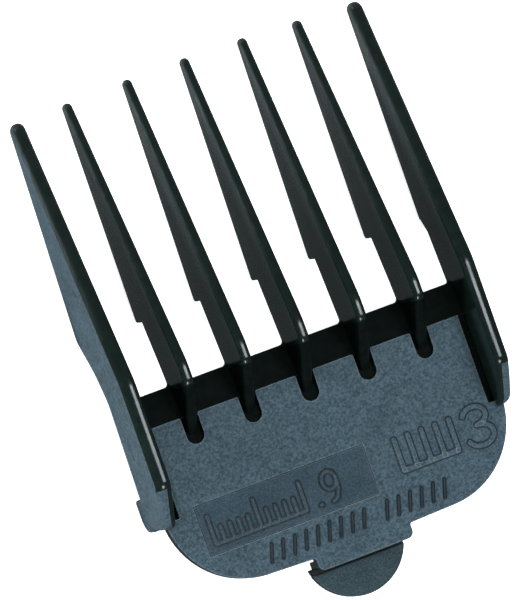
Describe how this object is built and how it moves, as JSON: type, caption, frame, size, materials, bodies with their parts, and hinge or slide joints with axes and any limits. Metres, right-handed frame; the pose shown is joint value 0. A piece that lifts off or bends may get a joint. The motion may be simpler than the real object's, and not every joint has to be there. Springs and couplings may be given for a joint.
{
  "type": "clipper guard comb",
  "caption": "Clip-on hair clipper guard comb: a row of tapered teeth on a grained face plate with side rails and a spring release tab at the rear.",
  "frame": {"origin": "centre of the footprint, on the surface that the comb stands on, blade side down", "axes": "+X across the teeth to the right, +Y along the teeth to their tips, +Z from the blade side to the scalp side"},
  "size_m": [0.0494, 0.072, 0.0138],
  "materials": {
    "grained_black": "fine spark-eroded grain",
    "polished_black": "polished",
    "label_black": "fine grain, a little smoother"
  },
  "bodies": {
    "comb": {"base_plate": "grained_black", "label_panel": "label_black", "crossbar": "polished_black", "inner_tooth_1": "polished_black", "inner_tooth_2": "polished_black", "inner_tooth_3": "polished_black", "inner_tooth_4": "polished_black", "inner_tooth_5": "polished_black", "outer_tooth_left": "grained_black", "outer_tooth_right": "grained_black", "side_rail_left": "grained_black", "side_rail_right": "grained_black", "rear_lug_left": "grained_black", "rear_lug_right": "grained_black"},
    "release_tab": {"tab_neck": "grained_black", "hook_wall": "polished_black", "catch_lip": "polished_black", "thumb_disc": "grained_black"}
  },
  "joints": [
    {"name": "release_tab_flex", "type": "hinge", "parent": "comb", "child": "release_tab", "pos_m": [0, -0.0292, 0.0072], "axis": [-1, 0, 0], "range_deg": [0, 10], "stiffness_Nm_per_rad": 0.1}
  ]
}
